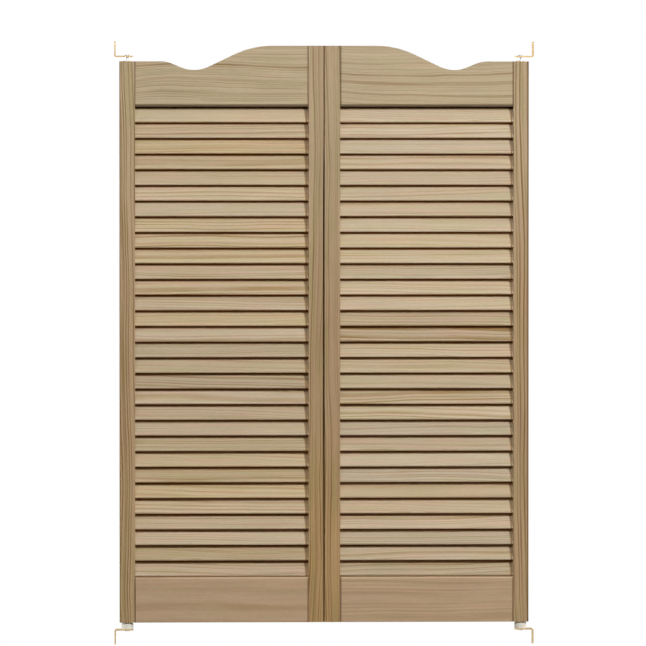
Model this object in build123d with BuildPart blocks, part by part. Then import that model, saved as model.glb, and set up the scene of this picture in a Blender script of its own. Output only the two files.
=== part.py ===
from build123d import *
import os
from math import ceil, cos, radians, tan

os.makedirs("parts", exist_ok=True)

# A pair of louvred cafe doors: two pine leaves, each hung on a gravity pivot hinge, that swing
# both ways between two jambs. Millimetres. +X runs across the opening, -Y is the front and +Z is
# up. The origin is on the centre line, level with the feet of the two bottom jamb brackets.

# ---- The leaves ----
leaf_width = 378.3  # a little over 14-7/8 in
leaf_height = 1066.8  # 42 in, at the meeting edge
leaf_thickness = 28.6  # 1-1/8 in
meeting_gap = 1.0  # the leaves all but touch when they hang at rest
stile_width = 28.6
top_rail_height = 112.5  # at the crest
bottom_rail_height = 83.8
stile_ease = 2.0  # sanded round on the long edges
rail_ease = 1.0
rail_bevel = 3.9  # along the front of the top rail's foot, over the louvres
rail_round = 3.0  # along the front of the bottom rail's head, under the louvres

# The scalloped top, as two ramps between three levels. Insets run from the hinge edge.
shoulder_drop = 28.9
dip_drop = 50.8
shoulder_inset = 87.0
dip_inset = 139.5
crest_inset = 246.0
shoulder_radius = 51.0
dip_radius = 63.5
crest_radius = 165.0

# ---- The louvres, housed in slanted mortises in the stiles ----
slat_width = 36.5  # 1-7/16 in, with both long edges rounded over
slat_thickness = 6.35
slat_tilt = 33.0  # from upright, lower edge forward
slat_pitch_limit = 29.2
slat_housing = 6.0  # length of slat end inside each stile
slat_fit = 0.15
slat_end_gap = 0.3
top_slat_nesting = 2.2  # of the top slat's upper edge into a groove in the top rail
bottom_slat_gap = 1.1  # below the bottom slat
slats_per_group = 3

# ---- The dowels that join rails and stiles ----
dowel_radius = 4.75
dowel_in_stile = 19.0
dowel_in_rail = 32.0
dowel_glue_gap = 0.1
dowel_hole_relief = 1.0
lower_dowel_rise = {"top": 18.0, "bottom": 34.0}  # above the rail's lower edge
dowel_spacing = 32.0

# ---- The gravity pivot hinges ----
jamb_clearance = 9.5  # leaf edge to jamb face
lift_room = 8.0  # lets a leaf ride up its cam
bracket_thickness = 2.4
bracket_width = 22.2
bracket_leg = 28.6
bracket_bend = 1.5
shelf_corner = 8.0
leg_corner = 4.0
jamb_hole_radius = 2.3
jamb_sink_radius = 4.0  # shallow enough to leave a straight wall in the bracket
jamb_hole_spacing = 12.7
jamb_hole_margin = 6.5  # outer hole to the end of the leg

pin_radius = 3.175
pin_rivet_fit = 0.05
pin_running_fit = 0.08
pin_reach = {"top": 12.0, "bottom": 10.0}  # into the leaf
pin_tip_chamfer = 0.8
pin_head_radius = 5.2
pin_head_height = 1.8
pin_head_bevel = 1.0

plate_thickness = 2.4
plate_width = 22.2
plate_length = 66.0
plate_fit = 0.3
screw_insets = (42.0, 58.0)
screw_angle = 82
screw_head_radius = 3.9
screw_shank_radius = 2.0
screw_length = 19.0
screw_point = 4.0
screw_head_depth = (screw_head_radius - screw_shank_radius) / tan(radians(screw_angle / 2))
screw_hole_gap = 0.2
screw_pilot_gap = 0.05
screw_recess_length = 4.2
screw_recess_width = 0.9
screw_recess_depth = 1.1

barrel_radius = 5.5  # of the nylon parts inside the stile
barrel_fit = 0.15
barrel_relief = 0.5
bushing_depth = 16.0
bushing_flange_radius = 8.0
bushing_flange = 1.5
cam_barrel_depth = 14.0
cam_flange_radius = 10.5
cam_flange = 2.0
cam_radius = 9.2
cam_depth = 8.0
cam_seat_gap = 0.1
cup_radius = 11.1
cup_running_fit = 0.4
cup_floor = 2.5
cup_rim_gap = 0.6
peg_radius = 1.4
peg_offset = 8.0
peg_fit = 0.1

# ---- Levels and places that follow ----
half_width = leaf_width + meeting_gap / 2
leaf_foot = bracket_leg + cup_floor + cam_seat_gap + cam_depth + cam_flange
crest = leaf_foot + leaf_height
shoulder = crest - shoulder_drop
dip = crest - dip_drop
top_rail_foot = crest - top_rail_height
bottom_rail_top = leaf_foot + bottom_rail_height
rail_length = leaf_width - 2 * stile_width
rail_foot = {"top": top_rail_foot, "bottom": leaf_foot}
louvre_edge = {"top": top_rail_foot, "bottom": bottom_rail_top}
pivot_inset = stile_width / 2
plate_inset = pivot_inset - plate_width / 2 + plate_length / 2
shelf_level = {"top": shoulder + lift_room, "bottom": bracket_leg}
leaf_end = {"top": shoulder, "bottom": leaf_foot}
barrel_depth = {"top": bushing_depth, "bottom": cam_barrel_depth}
outward = {"top": 1, "bottom": -1}  # along Z, out of the leaf

slat_lean = radians(slat_tilt)
slat_rise = (slat_width - slat_thickness) * cos(slat_lean) + slat_thickness
top_slat = top_rail_foot + top_slat_nesting - slat_rise / 2
slat_run = top_slat - slat_rise / 2 - bottom_rail_top - bottom_slat_gap
slat_count = ceil(slat_run / slat_pitch_limit) + 1
slat_pitch = slat_run / (slat_count - 1)
slat_levels = [top_slat - slat_pitch * n for n in range(slat_count)]


def dowel_levels(rail):
    """Heights of the two dowels at each end of a rail."""
    lower = rail_foot[rail] + lower_dowel_rise[rail]
    return (lower, lower + dowel_spacing)


def save(builder, name):
    """Label a finished sub-part and write it as one STEP file."""
    builder.part.label = name
    export_step(builder.part, f"parts/{name}.step")


for side, hand in (("left", -1), ("right", 1)):

    def across(inset):
        """X of a point that lies inset from this leaf's hinge edge."""
        return hand * (half_width - inset)

    pivot_x = across(pivot_inset)
    plate_x = across(plate_inset)
    pivot_axis = Axis((pivot_x, 0, 0), (0, 0, 1))
    pivot_section = Plane(origin=(pivot_x, 0, 0), x_dir=(1, 0, 0), z_dir=(0, -1, 0))

    # ---- Stiles: square pine, with a slanted mortise for every slat end ----
    stiles = (
        ("hinge_stile", pivot_inset, stile_width, shoulder, hand),
        ("meeting_stile", leaf_width - pivot_inset, leaf_width - stile_width, crest, -hand),
    )
    for name, centre, inner_face, top, into in stiles:
        with BuildPart() as stile:
            with BuildSketch(Plane.XY.offset(leaf_foot)):
                with Locations((across(centre), 0)):
                    RectangleRounded(stile_width, leaf_thickness, stile_ease)
            extrude(amount=top - leaf_foot)
            with BuildSketch(Plane.YZ.offset(across(inner_face))):
                with Locations(*[(0, level) for level in slat_levels]):
                    Rectangle(
                        slat_thickness + 2 * slat_fit,
                        slat_width + 2 * slat_fit,
                        rotation=-slat_tilt,
                    )
            extrude(amount=into * (slat_housing + slat_end_gap), mode=Mode.SUBTRACT)
            with BuildSketch(Plane.YZ.offset(across(inner_face))):
                with Locations(*[(0, z) for rail in rail_foot for z in dowel_levels(rail)]):
                    Circle(dowel_radius + dowel_glue_gap)
            extrude(amount=into * (dowel_in_stile + dowel_hole_relief), mode=Mode.SUBTRACT)
            if name == "hinge_stile":
                for end, out in outward.items():
                    with BuildSketch(Plane.XY.offset(leaf_end[end])):
                        with Locations((plate_x, 0)):
                            SlotOverall(plate_length + 2 * plate_fit, plate_width + 2 * plate_fit)
                    extrude(amount=-out * plate_thickness, mode=Mode.SUBTRACT)
                    with BuildSketch(Plane.XY.offset(leaf_end[end])):
                        with Locations((pivot_x, 0)):
                            Circle(barrel_radius + barrel_fit)
                    extrude(amount=-out * (barrel_depth[end] + barrel_relief), mode=Mode.SUBTRACT)
        save(stile, f"{side}_{name}")

    # ---- Rails: the top one is sawn to the scallop and grooved for the top slat, the bottom
    # one is straight ----
    for rail_name, out in outward.items():
        with BuildPart() as rail:
            with BuildSketch(Plane.XZ):
                with BuildLine():
                    if rail_name == "top":
                        top_edge = FilletPolyline(
                            (across(stile_width), shoulder),
                            (across(shoulder_inset), shoulder),
                            (across(dip_inset), dip),
                            (across(crest_inset), crest),
                            (across(leaf_width - stile_width), crest),
                            radius=(shoulder_radius, dip_radius, crest_radius),
                        )
                    else:
                        top_edge = Line(
                            (across(stile_width), bottom_rail_top),
                            (across(leaf_width - stile_width), bottom_rail_top),
                        )
                    Polyline(
                        top_edge @ 0,
                        (across(stile_width), rail_foot[rail_name]),
                        (across(leaf_width - stile_width), rail_foot[rail_name]),
                        top_edge @ 1,
                    )
                make_face()
            extrude(amount=leaf_thickness / 2, both=True)
            louvre_front = (across(leaf_width / 2), -leaf_thickness / 2, louvre_edge[rail_name])
            shaped_edge = rail.edges().sort_by_distance(louvre_front)[0]
            if rail_name == "top":
                chamfer(shaped_edge, rail_bevel)
            else:
                fillet(shaped_edge, rail_round)
            rims = rail.faces().filter_by(Axis.Y).edges()
            fillet(rims - rims.sort_by_distance(louvre_front)[:1], rail_ease)
            if rail_name == "top":
                with BuildSketch(Plane.YZ.offset(across(leaf_width / 2))):
                    with Locations((0, top_slat)):
                        Rectangle(
                            slat_thickness + 2 * slat_fit,
                            slat_width + 2 * slat_fit,
                            rotation=-slat_tilt,
                        )
                extrude(amount=rail_length / 2, both=True, mode=Mode.SUBTRACT)
            for end_inset, into in ((stile_width, -hand), (leaf_width - stile_width, hand)):
                with BuildSketch(Plane.YZ.offset(across(end_inset))):
                    with Locations(*[(0, z) for z in dowel_levels(rail_name)]):
                        Circle(dowel_radius + dowel_glue_gap)
                extrude(amount=into * (dowel_in_rail + dowel_hole_relief), mode=Mode.SUBTRACT)
            with BuildSketch(Plane.XY.offset(leaf_end[rail_name])):
                with Locations((plate_x, 0)):
                    SlotOverall(plate_length + 2 * plate_fit, plate_width + 2 * plate_fit)
            extrude(amount=-out * plate_thickness, mode=Mode.SUBTRACT)
            with BuildSketch(Plane.XY.offset(leaf_end[rail_name])):
                with Locations(*[(across(inset), 0) for inset in screw_insets]):
                    Circle(screw_shank_radius + screw_pilot_gap)
            extrude(amount=-out * screw_length, mode=Mode.SUBTRACT)
        save(rail, f"{side}_{rail_name}_rail")

        with BuildPart() as dowels:
            for end_inset, into in ((stile_width, -hand), (leaf_width - stile_width, hand)):
                with BuildSketch(Plane.YZ.offset(across(end_inset) - into * dowel_in_stile)):
                    with Locations(*[(0, z) for z in dowel_levels(rail_name)]):
                        Circle(dowel_radius)
                extrude(amount=into * (dowel_in_stile + dowel_in_rail))
        save(dowels, f"{side}_{rail_name}_dowels")

    # ---- Louvre slats, grouped from the top down ----
    for first in range(0, slat_count, slats_per_group):
        with BuildPart() as slats:
            with BuildSketch(Plane.YZ.offset(across(leaf_width / 2))):
                with Locations(*[(0, z) for z in slat_levels[first : first + slats_per_group]]):
                    SlotOverall(slat_width, slat_thickness, rotation=90 - slat_tilt)
            extrude(amount=rail_length / 2 + slat_housing, both=True)
        save(slats, f"{side}_louvres_{first // slats_per_group + 1:02d}")

    # ---- Gravity pivot hinge: the same plate, pin and bracket at the top and the bottom ----
    jamb_x = across(-jamb_clearance)
    shelf_tip_x = across(pivot_inset + bracket_width / 2)
    for end, out in outward.items():
        with BuildPart() as plate:
            with BuildSketch(Plane.XY.offset(leaf_end[end])):
                with Locations((plate_x, 0)):
                    SlotOverall(plate_length, plate_width)
                with Locations((pivot_x, 0)):
                    Circle(barrel_radius + barrel_fit, mode=Mode.SUBTRACT)
                if end == "bottom":
                    with Locations((pivot_x, -peg_offset), (pivot_x, peg_offset)):
                        Circle(peg_radius + peg_fit, mode=Mode.SUBTRACT)
            extrude(amount=-out * plate_thickness)
            for inset in screw_insets:
                with Locations(Plane((across(inset), 0, leaf_end[end]), z_dir=(0, 0, out))):
                    CounterSinkHole(
                        screw_shank_radius + screw_hole_gap,
                        screw_head_radius + screw_hole_gap,
                        counter_sink_angle=screw_angle,
                    )
        save(plate, f"{side}_{end}_pivot_plate")

        with BuildPart() as screws:
            for inset in screw_insets:
                screw_x = across(inset)
                with BuildSketch(Plane(origin=(screw_x, 0, 0), x_dir=(1, 0, 0), z_dir=(0, -1, 0))):
                    with BuildLine():
                        Polyline(
                            (0, leaf_end[end]),
                            (screw_head_radius, leaf_end[end]),
                            (screw_shank_radius, leaf_end[end] - out * screw_head_depth),
                            (screw_shank_radius, leaf_end[end] - out * (screw_length - screw_point)),
                            (0, leaf_end[end] - out * screw_length),
                            close=True,
                        )
                    make_face()
                revolve(axis=Axis((screw_x, 0, 0), (0, 0, 1)))
            with BuildSketch(Plane.XY.offset(leaf_end[end])):
                with Locations(*[(across(inset), 0) for inset in screw_insets]):
                    Rectangle(screw_recess_length, screw_recess_width)
                    Rectangle(screw_recess_width, screw_recess_length)
            extrude(amount=-out * screw_recess_depth, mode=Mode.SUBTRACT)
        save(screws, f"{side}_{end}_plate_screws")

        with BuildPart() as bracket:
            with BuildSketch(Plane.XZ):
                with BuildLine():
                    FilletPolyline(
                        (jamb_x, shelf_level[end]),
                        (jamb_x, shelf_level[end] + out * bracket_leg),
                        (jamb_x - hand * bracket_thickness, shelf_level[end] + out * bracket_leg),
                        (
                            jamb_x - hand * bracket_thickness,
                            shelf_level[end] + out * bracket_thickness,
                        ),
                        (shelf_tip_x, shelf_level[end] + out * bracket_thickness),
                        (shelf_tip_x, shelf_level[end]),
                        radius=(bracket_bend + bracket_thickness, 0, 0, bracket_bend, 0, 0),
                        close=True,
                    )
                make_face()
            extrude(amount=bracket_width / 2, both=True)
            shelf_corners = bracket.edges().filter_by(Axis.Z).sort_by_distance((shelf_tip_x, 0, 0))
            fillet(shelf_corners[:2], shelf_corner)
            leg_end = (jamb_x, 0, shelf_level[end] + out * bracket_leg)
            leg_corners = bracket.edges().filter_by(Axis.X).sort_by_distance(leg_end)
            fillet(leg_corners[:2], leg_corner)
            with BuildSketch(Plane.XY.offset(shelf_level[end])):
                with Locations((pivot_x, 0)):
                    Circle(pin_radius + pin_rivet_fit)
                if end == "bottom":
                    with Locations((pivot_x, -peg_offset), (pivot_x, peg_offset)):
                        Circle(peg_radius + peg_fit)
            extrude(amount=out * bracket_thickness, mode=Mode.SUBTRACT)
            for hole in range(2):
                hole_z = shelf_level[end] + out * (
                    bracket_leg - jamb_hole_margin - hole * jamb_hole_spacing
                )
                with Locations(
                    Plane((jamb_x - hand * bracket_thickness, 0, hole_z), z_dir=(-hand, 0, 0))
                ):
                    CounterSinkHole(
                        jamb_hole_radius,
                        jamb_sink_radius,
                        depth=bracket_thickness,
                        counter_sink_angle=screw_angle,
                    )
        save(bracket, f"{side}_{end}_jamb_bracket")

        # The pin is riveted in the shelf and stands into the leaf.
        pin_tip = leaf_end[end] - out * pin_reach[end]
        with BuildPart() as pin:
            with BuildSketch(Plane.XY.offset(pin_tip)):
                with Locations((pivot_x, 0)):
                    Circle(pin_radius)
            extrude(amount=shelf_level[end] + out * bracket_thickness - pin_tip)
            tip_rim = pin.edges().filter_by(GeomType.CIRCLE).sort_by(Axis.Z)[0 if out > 0 else -1]
            chamfer(tip_rim, pin_tip_chamfer)
            with BuildSketch(Plane.XY.offset(shelf_level[end] + out * bracket_thickness)):
                with Locations((pivot_x, 0)):
                    Circle(pin_head_radius)
            extrude(amount=out * pin_head_height)
            rivet_rim = pin.edges().filter_by(GeomType.CIRCLE).sort_by(Axis.Z)[-1 if out > 0 else 0]
            chamfer(rivet_rim, pin_head_bevel)
        save(pin, f"{side}_{end}_pivot_pin")

    # ---- Nylon parts that the pins turn in ----
    with BuildPart() as bushing:
        with BuildSketch(pivot_section):
            with BuildLine():
                Polyline(
                    (pin_radius + pin_running_fit, shoulder - bushing_depth),
                    (barrel_radius, shoulder - bushing_depth),
                    (barrel_radius, shoulder),
                    (bushing_flange_radius, shoulder),
                    (bushing_flange_radius, shoulder + bushing_flange),
                    (pin_radius + pin_running_fit, shoulder + bushing_flange),
                    close=True,
                )
            make_face()
        revolve(axis=pivot_axis)
    save(bushing, f"{side}_top_bushing")

    cup_seat = bracket_leg + cup_floor
    cam_foot = leaf_foot - cam_flange - cam_depth
    cup_rim = leaf_foot - cam_flange - cup_rim_gap
    pegs = ((pivot_x, -peg_offset), (pivot_x, peg_offset))
    with BuildPart() as upper_cam:
        with BuildSketch(pivot_section):
            with BuildLine():
                Polyline(
                    (pin_radius + pin_running_fit, cam_foot),
                    (cam_radius, cam_foot),
                    (cam_radius, leaf_foot - cam_flange),
                    (cam_flange_radius, leaf_foot - cam_flange),
                    (cam_flange_radius, leaf_foot),
                    (barrel_radius, leaf_foot),
                    (barrel_radius, leaf_foot + cam_barrel_depth),
                    (pin_radius + pin_running_fit, leaf_foot + cam_barrel_depth),
                    close=True,
                )
            make_face()
        revolve(axis=pivot_axis)
        with BuildSketch(Plane.XY.offset(leaf_foot)):
            with Locations(*pegs):
                Circle(peg_radius)
        extrude(amount=plate_thickness)
    save(upper_cam, f"{side}_upper_cam")

    with BuildPart() as lower_cam:
        with BuildSketch(pivot_section):
            with BuildLine():
                Polyline(
                    (pin_radius + pin_running_fit, bracket_leg),
                    (cup_radius, bracket_leg),
                    (cup_radius, cup_rim),
                    (cam_radius + cup_running_fit, cup_rim),
                    (cam_radius + cup_running_fit, cup_seat),
                    (pin_radius + pin_running_fit, cup_seat),
                    close=True,
                )
            make_face()
        revolve(axis=pivot_axis)
        with BuildSketch(Plane.XY.offset(bracket_leg)):
            with Locations(*pegs):
                Circle(peg_radius)
        extrude(amount=-bracket_thickness)
    save(lower_cam, f"{side}_lower_cam")
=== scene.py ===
"""Dresses a pair of louvred pine cafe doors, hung on gravity pivots, for rendering."""

import math

import bpy
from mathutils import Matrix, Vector


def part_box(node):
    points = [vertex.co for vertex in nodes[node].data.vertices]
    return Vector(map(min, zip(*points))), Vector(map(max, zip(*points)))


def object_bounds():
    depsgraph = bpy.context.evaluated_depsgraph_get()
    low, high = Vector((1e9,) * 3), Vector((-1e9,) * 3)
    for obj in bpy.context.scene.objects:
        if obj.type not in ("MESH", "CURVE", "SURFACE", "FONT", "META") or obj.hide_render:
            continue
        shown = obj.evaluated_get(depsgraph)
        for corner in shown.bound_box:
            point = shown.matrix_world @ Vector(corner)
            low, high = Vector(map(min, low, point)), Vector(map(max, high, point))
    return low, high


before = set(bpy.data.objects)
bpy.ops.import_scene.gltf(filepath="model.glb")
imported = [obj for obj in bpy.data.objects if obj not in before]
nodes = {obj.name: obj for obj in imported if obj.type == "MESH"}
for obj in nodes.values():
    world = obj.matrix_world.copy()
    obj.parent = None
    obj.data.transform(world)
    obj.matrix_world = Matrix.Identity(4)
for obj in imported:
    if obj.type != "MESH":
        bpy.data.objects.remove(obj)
cad_low, cad_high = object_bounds()


# ---- Stiles ----
# Square pine uprights, ripped with the grain running straight up and left unfinished. The rings
# cross the face as fine upright lines. The arrises are eased. Painted shade darkens some of them,
# and a painted highlight lightens others.


class Field:
    """A value that varies over a surface. Arithmetic on it adds Math nodes to its material."""

    def __init__(self, finish, socket):
        self.finish = finish
        self.socket = socket

    def __add__(self, other):
        return self.finish.node("Math", {"operation": "ADD"}, {0: self, 1: other})

    def __sub__(self, other):
        return self.finish.node("Math", {"operation": "SUBTRACT"}, {0: self, 1: other})

    def __rsub__(self, other):
        return self.finish.node("Math", {"operation": "SUBTRACT"}, {0: other, 1: self})

    def __mul__(self, other):
        return self.finish.node("Math", {"operation": "MULTIPLY"}, {0: self, 1: other})

    def __truediv__(self, other):
        return self.finish.node("Math", {"operation": "DIVIDE"}, {0: self, 1: other})

    def __pow__(self, other):
        return self.finish.node("Math", {"operation": "POWER"}, {0: self, 1: other})

    def __abs__(self):
        return self.finish.node("Math", {"operation": "ABSOLUTE"}, {0: self})

    __radd__ = __add__
    __rmul__ = __mul__


class Recipe:
    """A tree of shader nodes, built up node by node."""

    def __init__(self, tree):
        self.tree = tree

    def node(self, kind, settings=None, sockets=None, output=0):
        """Add a shader node: its settings first, then the values or links of its sockets."""
        node = self.tree.nodes.new("ShaderNode" + kind)
        for setting, value in (settings or {}).items():
            setattr(node, setting, value)
        for socket, value in (sockets or {}).items():
            if isinstance(value, Field):
                self.tree.links.new(value.socket, node.inputs[socket])
            else:
                node.inputs[socket].default_value = value
        return Field(self, node.outputs[output])


class Finish(Recipe):
    """A material on the Principled shader. Its constants go on the shader's own sockets."""

    def __init__(self, name, **constants):
        self.material = bpy.data.materials.new(name)
        self.material.use_nodes = True
        super().__init__(self.material.node_tree)
        self.shader = self.tree.nodes["Principled BSDF"]
        for socket, value in constants.items():
            self.shader.inputs[socket.replace("_", " ")].default_value = value

    def place(self):
        """X, Y and Z of the point, in metres, in the frame of the doors."""
        point = self.node("TexCoord", output="Object")
        return [self.node("SeparateXYZ", {}, {0: point}, output=axis) for axis in "XYZ"]

    def noise(self, x, y, z, detail=2.0):
        """Cloudy noise about 0, one lump to a unit of each coordinate."""
        point = self.node("CombineXYZ", {}, {0: x, 1: y, 2: z})
        sockets = {"Vector": point, "Scale": 1.0, "Detail": detail, "Roughness": 0.5}
        return self.node("TexNoise", {}, sockets) - 0.5

    def step(self, value, low, high):
        """0 below low, 1 above high, smooth between."""
        settings = {"interpolation_type": "SMOOTHSTEP"}
        return self.node("MapRange", settings, {"Value": value, "From Min": low, "From Max": high})

    def blend(self, share, first, second):
        """Mix two colours."""
        return self.node("Mix", {"data_type": "RGBA"}, {0: share, 6: first, 7: second}, output=2)

    def stain(self, colour, other):
        """Multiply one colour by another."""
        settings = {"data_type": "RGBA", "blend_type": "MULTIPLY"}
        return self.node("Mix", settings, {0: 1.0, 6: colour, 7: other}, output=2)

    def tone(self, colour, level):
        """Make a colour lighter or darker by a level about 1."""
        return self.stain(colour, self.node("CombineColor", {}, {0: level, 1: level, 2: level}))

    def wear(self, colour, roughness=None, relief=None, depth=0.0):
        """Link what varies to the shader. Depth is the height of the relief in metres."""
        self.tree.links.new(colour.socket, self.shader.inputs["Base Color"])
        if roughness is not None:
            self.tree.links.new(roughness.socket, self.shader.inputs["Roughness"])
        if relief is not None:
            bump = self.node("Bump", {}, {"Height": relief, "Distance": depth, "Strength": 1.0})
            self.tree.links.new(bump.socket, self.shader.inputs["Normal"])

    def dress(self, *names):
        """Put the material in the slot of each node."""
        for name in names:
            nodes[name].data.materials[0] = self.material


def paint(red, green, blue):
    """A colour as a painter reads it, 0 to 255, as the shader's linear colour."""
    return [*[((c / 255 + 0.055) / 1.055) ** 2.4 for c in (red, green, blue)], 1.0]


def pine_grain(wood, along, across, through, cut, tones, contrast=1.0, shift=0.0, wander=0.03):
    """Grow rings round a pith that runs with the grain, and colour the board by them.

    cut holds how far the pith lies to the side of the board and behind it, and the width of a
    ring. tones are the cream, the blush and the green-grey of the earlywood and the amber of the
    latewood. shift moves a board along its tree, so that no two boards match. wander is how far
    the pith strays from a straight line.
    """

    def cloud(lengthwise, crosswise, detail=1.0, start=0.0):
        """Noise drawn out along the grain, with so many lumps to a metre with it and across."""
        place = along * lengthwise + shift
        if start:
            place = place + start
        return wood.noise(place, across * crosswise, through * crosswise, detail=detail)

    pith_across, pith_through, ring_width = cut
    cream, blush, sage, amber = tones
    bend = cloud(2.4, 5.0)
    ripple = cloud(13.0, 30.0)
    side = across - pith_across + bend * wander + ripple * wander * 0.10
    inward = through - pith_through
    rings = (side * side + inward * inward) ** 0.5 / ring_width
    wet_and_dry_years = wood.noise(rings * 0.55 + shift, 0.0, 0.0, detail=1.0)
    count = rings + wet_and_dry_years * 3.0 + 60.0
    year = wood.node("Math", {"operation": "FLOOR"}, {0: count})
    season = count - year
    vigour = wood.node("TexWhiteNoise", {"noise_dimensions": "1D"}, {"W": year + shift})
    summer = wood.step(season, 0.35, 0.86) * (1.0 - wood.step(season, 0.90, 1.0))
    fade = cloud(7.0, 60.0)
    late = summer * (0.3 + vigour * 0.7) * (0.85 + fade * 1.6) * contrast
    fibre = cloud(110.0, 520.0, detail=3.0)
    streak = cloud(5.0, 330.0, detail=2.0)
    bloom = cloud(8.0, 35.0)
    warm = cloud(9.0, 120.0)
    cool = cloud(8.0, 100.0, start=40.0)
    colour = wood.blend(wood.step(warm, -0.08, 0.12), cream, blush)
    colour = wood.blend(wood.step(cool, -0.02, 0.16), colour, sage)
    colour = wood.blend(late, colour, amber)
    colour = wood.tone(colour, 1.0 + fibre * 0.20 + streak * 0.30 * contrast + bloom * 0.14)
    return colour, late, fibre


def bare_wood(wood, colour, late, fibre, roughness=0.66, depth=0.00015):
    """Sanded pine with no finish: the fibres stand up and the latewood is a little smoother."""
    wood.wear(colour, roughness + fibre * 0.16 - late * 0.08, fibre * 0.5 - late * 0.4, depth)


stile_tones = (paint(186, 164, 133), paint(185, 160, 131), paint(178, 160, 124), paint(134, 107, 69))
# The foot tones are painted shade: darker and warmer where the light falls off.
shaded_foot_tones = (paint(180, 153, 119), paint(179, 150, 117), paint(172, 149, 110), paint(130, 100, 60))
golden_tones = (paint(184, 152, 108), paint(181, 147, 106), paint(173, 145, 99), paint(130, 97, 52))
# Dirt for the joints and arrises, and painted shade for the meeting arrises.
grime_and_shade = paint(84, 54, 24)
# Near-black painted shade of the gap where the leaves meet.
gap_shade = paint(34, 16, 4)
arris = 0.0022
corner = 0.0002
opening_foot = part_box("left_bottom_rail")[1].z
opening_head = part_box("left_top_rail")[0].z
opening_middle = (opening_foot + opening_head) / 2
opening_half = (opening_head - opening_foot) / 2
stiles = {
    "left_hinge_stile": dict(
        cut=(-0.44, 0.020, 0.0058), lean=0.009, contrast=1.15, level=1.025, arris_highlight=0.0
    ),
    "left_meeting_stile": dict(
        cut=(0.10, 0.034, 0.0068), lean=-0.011, contrast=0.95, level=0.96, arris_highlight=0.55
    ),
    "right_meeting_stile": dict(
        cut=(-0.09, -0.022, 0.0072), lean=0.007, contrast=1.1, level=0.945, arris_highlight=1.0
    ),
    "right_hinge_stile": dict(
        cut=(0.47, 0.026, 0.0058), lean=0.010, contrast=1.0, level=1.01, arris_highlight=0.45
    ),
}
for turn, (name, stile) in enumerate(stiles.items()):
    low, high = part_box(name)
    centre = (low + high) / 2
    half = (high - low) / 2
    meeting = "meeting" in name
    slat_side = 1 if name in ("left_hinge_stile", "right_meeting_stile") else -1
    pine = Finish("pine_" + name, Specular_IOR_Level=0.0)
    x, y, z = pine.place()

    # Painted shade makes the wood warmer and darker toward the foot, where the light falls off, and
    # the meeting stiles are golden at the foot.
    shade_toward_foot = 1.0 - pine.step(z, 0.50, 1.05)
    tones = [pine.blend(shade_toward_foot, upper, lower) for upper, lower in zip(stile_tones, shaded_foot_tones)]
    if meeting:
        gold = 1.0 - pine.step(z, 0.12, 0.50)
        tones = [pine.blend(gold, plain, golden) for plain, golden in zip(tones, golden_tones)]
    colour, late, fibre = pine_grain(
        pine,
        z,
        x + z * stile["lean"],
        y,
        stile["cut"],
        tones,
        contrast=stile["contrast"],
        shift=turn * 7.3,
    )
    low_down = 1.0 - pine.step(z, 0.15, 0.50)
    colour = pine.tone(colour, (0.975 + shade_toward_foot * low_down * 0.035) * stile["level"])

    # A painted highlight lightens the left-hand arrises, which face away from the key lamp, but for
    # the outermost one.
    face = pine.step(abs(y - centre.y), half.y - 0.0028, half.y - 0.0016)
    left_arris_highlight = pine.step(centre.x - x, half.x - 0.0020, half.x - 0.0006) * face
    colour = pine.tone(colour, 1.0 + left_arris_highlight * stile["arris_highlight"])

    # Dirt darkens the joints with the rails. The outer arrises of the hinge stiles are darkened.
    # Painted shade of the gap between the leaves darkens the meeting arrises a little.
    joint_dirt, edge_darkening = (0.15, 0.15) if meeting else (0.55, 0.65)
    reach = 0.0018 if name == "right_hinge_stile" else 0.0
    in_front = pine.step(abs(y - centre.y), half.y - arris, half.y - corner)
    inside = pine.step((x - centre.x) * slat_side, half.x - arris, half.x - corner)
    outside = pine.step(
        (centre.x - x) * slat_side, half.x - arris - reach, half.x - corner - reach
    )
    slat_half = pine.step((x - centre.x) * slat_side, 0.0, 0.001)
    by_rail = pine.step(abs(z - opening_middle), opening_half - 0.00325, opening_half + 0.00175)
    joint_dirt_and_dark_edges = slat_half * by_rail * joint_dirt + (1.0 - slat_half) * edge_darkening
    colour = pine.blend((outside + inside) * in_front * joint_dirt_and_dark_edges, colour, grime_and_shade)

    # Painted shade blackens the arris where the left leaf meets the right, as shade of a wider gap
    # between the leaves, least of all at the top.
    if name == "left_meeting_stile":
        shade_down_the_gap = 1.0 - pine.step(z, 0.80, 1.02) * 0.75
        gap_shade_mask = pine.step(abs(x - centre.x), half.x - 0.0027, half.x - 0.0019)
        gap_shade_mask = gap_shade_mask * in_front * (0.7 + pine.step(z, 0.18, 0.45) * 0.3)
        colour = pine.blend(gap_shade_mask * (1.0 - slat_half) * shade_down_the_gap, colour, gap_shade)
    bare_wood(pine, colour, late, fibre)
    pine.dress(name)


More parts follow.
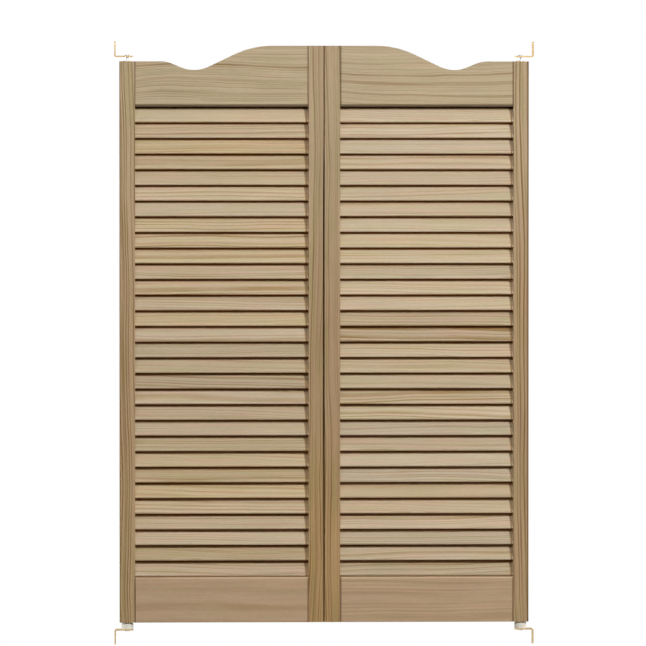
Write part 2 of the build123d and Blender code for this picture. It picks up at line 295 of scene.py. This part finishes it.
# ---- Rails ----
# Flat-sawn pine boards between the stiles, dowelled and glued. The top one is bandsawn to the
# scallop. Their grain runs across the leaf in slow waves, and their ends are eased at the joint.
top_tones = (paint(189, 171, 142), paint(189, 169, 140), paint(184, 168, 136), paint(146, 121, 83))
low_tones = (paint(190, 163, 133), paint(190, 160, 130), paint(185, 160, 128), paint(160, 129, 92))
groove_shade = paint(70, 42, 16)
groove_lip = -0.0112
rails = {
    "left_top_rail": dict(cut=(1.24, 0.040, 0.0050), contrast=0.95),
    "right_top_rail": dict(cut=(0.86, 0.050, 0.0050), contrast=0.72),
    "left_bottom_rail": dict(cut=(0.02, 0.060, 0.0160), contrast=0.5),
    "right_bottom_rail": dict(cut=(-0.02, 0.050, 0.0085), contrast=0.75),
}
for turn, (name, rail) in enumerate(rails.items()):
    low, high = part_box(name)
    centre = (low + high) / 2
    half = (high - low) / 2
    left = "left" in name
    top = "top" in name
    pine = Finish("pine_" + name, Specular_IOR_Level=0.0)
    x, y, z = pine.place()
    colour, late, fibre = pine_grain(
        pine,
        x,
        z,
        y,
        rail["cut"],
        top_tones if top else low_tones,
        contrast=rail["contrast"],
        shift=31.0 + turn * 5.7,
        wander=0.05 if top else 0.035,
    )

    # Painted shade darkens the groove over the top slat and the slit under the lowest one.
    if top:
        painted_recess_shade = 1.0 - pine.step(z, low.z + 0.0040, low.z + 0.0054)
        painted_recess_shade = painted_recess_shade * (0.5 + pine.step(y, groove_lip - 0.0004, groove_lip + 0.0004) * 0.15)
    else:
        # A painted highlight lightens the rounded top edge of the bottom rail.
        colour = pine.tone(colour, 1.0 + pine.step(z, high.z - 0.0034, high.z - 0.0022) * 0.22)
        painted_recess_shade = pine.step(z, high.z - 0.0006, high.z - 0.0003) * 0.4
    colour = pine.blend(painted_recess_shade, colour, groove_shade)

    # The eased ends are darkened along the joint with each stile.
    to_meeting = (x - centre.x) * (1.0 if left else -1.0)
    to_hinge = (centre.x - x) * (1.0 if left else -1.0)
    hinge_joint = half.x - (0.0014 if left else 0.0026)
    at_joint = pine.step(to_meeting, half.x - 0.0038, half.x - 0.0016)
    at_joint = at_joint + pine.step(to_hinge, hinge_joint, hinge_joint + 0.0012)
    in_front = pine.step(abs(y - centre.y), half.y - 0.0014, half.y - 0.0002)
    colour = pine.blend(at_joint * in_front * 0.55, colour, grime_and_shade)
    bare_wood(pine, colour, late, fibre)
    pine.dress(name)


# ---- Louvre slats ----
# Thin planed pine strips with round edges, housed in the stiles with the lower edge forward. Each
# is cut from another place in the log, so its rings, tint and flame differ from its neighbour's.
# Painted shade browns the right-hand ends, where the stile shades them.
slats_per_group = 3
slat_lean = math.radians(33.0)
slat_width = 0.0365
slat_tones = (paint(196, 180, 156), paint(199, 177, 154), paint(193, 179, 150), paint(160, 132, 93))
slat_shade = paint(116, 68, 6)
end_shade_colour = paint(136, 102, 62)
lower_edge = -slat_width / 2
recess_start, recess_end = 0.0092, 0.0155
recess_blur = 0.0020

# Each point's slat, and its place on that slat: across the strip from its middle, with the lower
# edge negative, and through it from the middle of its thickness, with the front positive.
first_low, first_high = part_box("left_louvres_01")
next_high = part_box("left_louvres_02")[1]
slat_pitch = (first_high.z - next_high.z) / slats_per_group
slat_rise = first_high.z - first_low.z - (slats_per_group - 1) * slat_pitch
top_slat_z = first_high.z - slat_rise / 2
slat_pine = Finish("pine_louvre", Specular_IOR_Level=0.0)
x, y, z = slat_pine.place()
rise = y * math.sin(slat_lean) + z * math.cos(slat_lean)
lift = z * math.sin(slat_lean) - y * math.cos(slat_lean)
slat_step = slat_pitch * math.sin(slat_lean)
slat_number = slat_pine.node(
    "Math", {"operation": "ROUND"}, {0: (top_slat_z * math.sin(slat_lean) - lift) / slat_step}
)
slat_z = top_slat_z - slat_number * slat_pitch
across_slat = rise - slat_z * math.cos(slat_lean)
through_slat = lift - slat_z * math.sin(slat_lean)
right_leaf = slat_pine.node("Math", {"operation": "GREATER_THAN"}, {0: x, 1: 0.0})


def slat_chance(salt):
    """Three numbers from 0 to 1 that are the same all over one slat."""
    place = slat_pine.node("CombineXYZ", {}, {0: slat_number, 1: right_leaf * 9.0, 2: salt})
    colour = slat_pine.node("TexWhiteNoise", {}, {0: place}, output=1)
    return [slat_pine.node("SeparateColor", {}, {0: colour}, output=n) for n in range(3)]


pith_side, pith_depth, ring_size = slat_chance(1.5)
tint, glow, shift = slat_chance(5.5)
taper, contrast, yellow = slat_chance(8.5)
colour, late, fibre = pine_grain(
    slat_pine,
    x,
    across_slat + x * (taper - 0.5) * 0.05,
    through_slat,
    ((pith_side - 0.5) * 0.16, 0.010 + pith_depth * 0.06, 0.0030 + ring_size * ring_size * 0.0060),
    slat_tones,
    contrast=0.60 - right_leaf * 0.18 + contrast * 0.55 + contrast**10.0 * 0.35,
    shift=shift * 90.0,
)

# Some slats are pinker and some more yellow. The right leaf's are paler, and painted lighter for the
# stronger light on that side, and a painted highlight makes the lower edges the lightest.
plain = slat_pine.blend(right_leaf, paint(255, 255, 255), paint(249, 253, 255))
pink = slat_pine.blend(tint * 0.55, plain, paint(255, 246, 240))
straw = slat_pine.blend(yellow * (0.85 - right_leaf * 0.45), pink, paint(255, 251, 232))
colour = slat_pine.stain(colour, straw)
lip_highlight = 1.0 - slat_pine.step(across_slat, lower_edge + 0.0012, lower_edge + 0.0050)
colour = slat_pine.tone(colour, 0.87 + glow * 0.20 + lip_highlight * 0.13 + right_leaf * 0.055)

# Painted shade darkens the recess behind the lip of the slat above, and the back behind the slat's
# own lip. The first slat has the top rail over it, and is darkened less.
front = slat_pine.step(through_slat, -0.001, 0.001)
first = 1.0 - slat_pine.step(slat_number, 0.2, 0.8)
shade_behind_lip = slat_pine.step(across_slat + first * 0.0030, recess_start, recess_start + recess_blur)
shade_behind_lip = front * shade_behind_lip * (1.0 - slat_pine.step(across_slat, recess_end, recess_end + recess_blur))
shade_behind_own_lip = (1.0 - front) * (1.0 - slat_pine.step(across_slat, -0.0140, -0.0095))
colour = slat_pine.blend((shade_behind_lip + shade_behind_own_lip) * (0.95 - first * 0.42), colour, slat_shade)

# The painted end shade is a wedge. It is widest at the upper edge, which lies deepest between the
# stiles, and darkest at the lip.
left_leaf_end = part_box("left_meeting_stile")[0].x
right_leaf_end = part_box("right_hinge_stile")[0].x
to_stile = left_leaf_end + right_leaf * (right_leaf_end - left_leaf_end) - x
lip = 1.0 - slat_pine.step(across_slat, lower_edge, 0.006)
into_wedge = to_stile - (across_slat - lower_edge) * 0.10 + right_leaf * 0.0014
end_shade = (1.0 - slat_pine.step(into_wedge, 0.0054, 0.0062)) * (0.48 + lip * 0.40)
end_shade = end_shade * slat_pine.step(to_stile, 0.0004, 0.0032)
colour = slat_pine.blend(end_shade, colour, end_shade_colour)
bare_wood(slat_pine, colour, late, fibre, roughness=0.62, depth=0.0001)
slat_pine.dress(*[name for name in nodes if "_louvres_" in name])
# ---- Dowels ----
# Turned beech pins with the grain along them, two to each joint of a rail with a stile. They are
# glued in, and out of sight once the leaf is together.
beech = Finish("beech_dowel", Specular_IOR_Level=0.3)
x, y, z = beech.place()
fleck = beech.noise(x * 60.0, y * 900.0, z * 900.0, detail=3.0)
colour = beech.blend(beech.step(fleck, -0.2, 0.2), paint(206, 172, 130), paint(188, 150, 108))
beech.wear(colour, 0.6 + fleck * 0.2, fleck, 0.0001)
beech.dress(*[name for name in nodes if name.endswith("_dowels")])


# ---- Brackets, plates and screws ----
# Pressed brass strip with a satin brushed face. The brackets screw to the jambs. The plates are let
# in flush at the head and foot of the leaf, and held by countersunk brass screws.
brass = Finish("satin_brass", Metallic=1.0)
x, y, z = brass.place()
brushed = brass.noise(x * 90.0, y * 2500.0, z * 90.0, detail=3.0)
tarnish = brass.noise(x * 70.0, y * 70.0, z * 70.0, detail=4.0)
colour = brass.blend(
    brass.step(tarnish + brushed * 0.3, -0.22, 0.25), paint(186, 158, 108), paint(156, 128, 84)
)
brass.wear(colour, 0.34 + brushed * 0.25 + tarnish * 0.2, brushed, 0.00004)
brass.dress(*[name for name in nodes if name.endswith(("_bracket", "_plate", "_screws"))])


# ---- Pins ----
# Short pivots, turned from steel and zinc plated. Each is riveted in its bracket, and the leaf
# turns on it.
steel = Finish("pin_steel", Metallic=1.0)
x, y, z = steel.place()
turned = steel.noise(x * 300.0, y * 300.0, z * 4000.0, detail=2.0)
zinc = steel.noise(x * 400.0, y * 400.0, z * 400.0, detail=3.0)
colour = steel.blend(steel.step(zinc, -0.2, 0.2), paint(196, 197, 200), paint(168, 170, 176))
steel.wear(colour, 0.30 + turned * 0.2 + zinc * 0.15, turned, 0.00003)
steel.dress(*[name for name in nodes if name.endswith("_pin")])


# ---- Cams and bushings ----
# Moulded nylon, milky and matt, which the pins turn in without grease. The lower cam is pegged to
# its bracket and carries the leaf, and the others are pressed into the stile.
nylon = Finish("nylon", Subsurface_Weight=0.1, Subsurface_Scale=0.002)
x, y, z = nylon.place()
mottle = nylon.noise(x * 260.0, y * 260.0, z * 260.0, detail=4.0)
flow = nylon.noise(x * 60.0, y * 60.0, z * 60.0, detail=2.0)
colour = nylon.blend(nylon.step(flow, -0.2, 0.2), paint(232, 229, 218), paint(222, 217, 203))
nylon.wear(colour, 0.48 + mottle * 0.2, mottle, 0.00005)
nylon.dress(*[name for name in nodes if name.endswith(("_cam", "_bushing"))])


# ---- Floor ----
# A plain pale floor, 46 cm below the foot of the leaves. It keeps their shadow, throws little
# light back up at them, and fades out into the white room further off.
floor_z = cad_low.z - 0.42
floor_width = 7.0
bpy.ops.object.select_all(action="DESELECT")
bpy.ops.mesh.primitive_plane_add(size=floor_width, location=(0.0, 0.0, floor_z))
bpy.ops.object.transform_apply(location=True, rotation=True, scale=True)
floor = bpy.context.object
floor.name = "floor"
pale = Finish(
    "pale_floor", Roughness=0.8, Emission_Color=(1.0, 0.995, 0.98, 1.0), Emission_Strength=0.5
)
x, y, z = pale.place()
grit = pale.noise(x * 40.0, y * 40.0, 0.0, detail=3.0)
pale.wear(pale.blend(pale.step(grit, -0.3, 0.3), paint(228, 227, 224), paint(233, 232, 230)))


def seen_rays(recipe):
    """1 for what is seen, straight or in polished metal or glass, and 0 for light thrown back."""
    seen = recipe.node("LightPath", output="Is Camera Ray")
    for ray in ("Is Glossy Ray", "Is Transmission Ray"):
        other = recipe.node("LightPath", output=ray)
        seen = recipe.node("Math", {"operation": "MAXIMUM"}, {0: seen, 1: other})
    return seen


shown = seen_rays(pale)
dull = pale.node("BsdfDiffuse", {}, {"Color": (0.10, 0.09, 0.08, 1.0)})
painted = Field(pale, pale.shader.outputs["BSDF"])
surface = pale.node("MixShader", {}, {0: shown, 1: dull, 2: painted})
room = pale.node("Emission", {}, {"Color": (1.0, 1.0, 1.0, 1.0), "Strength": 1.0})
fade_start, fade_end = 1.0, 3.3
faded = pale.step((x * x + y * y) ** 0.5, fade_start, fade_end) * shown
surface = pale.node("MixShader", {}, {0: faded, 1: surface, 2: room})
output = pale.tree.nodes["Material Output"]
pale.tree.links.new(surface.socket, output.inputs["Surface"])
floor.data.materials.append(pale.material)


# ---- Backdrop ----
# A white room all round, seen straight and in polished metal. It hardly lights the doors, so that
# the lamps shape them.
world = bpy.data.worlds.new("studio")
bpy.context.scene.world = world
world.use_nodes = True
walls = Recipe(world.node_tree)
walls.tree.nodes.clear()
glimmer = walls.node("Background", {}, {"Color": (1.0, 0.96, 0.92, 1.0), "Strength": 0.015})
white = walls.node("Background", {}, {"Color": (1.0, 1.0, 1.0, 1.0), "Strength": 1.0})
mix = walls.node("MixShader", {}, {0: seen_rays(walls), 1: glimmer, 2: white})
world_output = walls.tree.nodes.new("ShaderNodeOutputWorld")
walls.tree.links.new(mix.socket, world_output.inputs["Surface"])


# ---- Lamps ----
# A lamp in front, high on the right, softened by weaker ones over the head, straight in front and
# on the left. Two more light the edges of the doors, and two the back.
warm_white = (1.0, 0.985, 0.96)
cool_white = (0.98, 0.99, 1.0)
sky_white = (0.93, 0.97, 1.0)
lamps = {
    "key": dict(place=(2.3, -3.95, 2.25), width=0.45, power=129.0, colour=warm_white),
    "crown": dict(place=(0.0, -1.7, 3.0), width=1.6, power=8.0, colour=sky_white),
    "fill": dict(place=(0.0, -4.6, 2.9), width=1.2, power=78.0, colour=cool_white),
    "left": dict(place=(-2.6, -3.9, 2.4), width=0.9, power=33.0, colour=cool_white),
    "side left": dict(place=(-4.0, 0.5, 0.6), width=1.0, power=75.0, colour=cool_white),
    "side right": dict(place=(4.0, 0.5, 0.6), width=1.0, power=50.0, colour=cool_white),
    "rear left": dict(place=(-2.6, 3.0, 2.0), width=1.4, power=110.0, colour=warm_white),
    "rear right": dict(place=(2.6, 3.0, 2.0), width=1.4, power=110.0, colour=warm_white),
}
middle_of_doors = Vector((0.0, 0.0, 0.6))
for name, settings in lamps.items():
    lamp = bpy.data.lights.new(name, "AREA")
    lamp.shape = "SQUARE"
    lamp.size = settings["width"]
    lamp.energy = settings["power"]
    lamp.color = settings["colour"]
    holder = bpy.data.objects.new(name, lamp)
    bpy.context.collection.objects.link(holder)
    holder.location = settings["place"]
    aim = middle_of_doors - holder.location
    holder.rotation_euler = aim.to_track_quat("-Z", "Y").to_euler()
    holder.visible_camera = False


# ---- Camera ----
# Far back with a long lens, a little to the left, so that the line where the leaves meet closes,
# and a little above the middle, so that no light shows over the bottom rails.
view_width = 1.1952
view_distance = 14.0
view_turn = math.radians(2.4)
view_dip = math.radians(1.35)
look_at = Vector((-0.0026, cad_low.y, 0.5953))
film_width = 36.0
camera_data = bpy.data.cameras.new("camera")
camera_data.sensor_width = film_width
camera_data.lens = film_width * view_distance / view_width
camera = bpy.data.objects.new("camera", camera_data)
bpy.context.collection.objects.link(camera)
level_away = Vector((-math.sin(view_turn), -math.cos(view_turn), 0.0)) * math.cos(view_dip)
away = level_away + Vector((0.0, 0.0, math.sin(view_dip)))
camera.location = look_at + away * view_distance
camera.rotation_euler = (math.radians(90.0) - view_dip, 0.0, -view_turn)
bpy.context.scene.camera = camera
bpy.context.scene.view_settings.view_transform = "Standard"
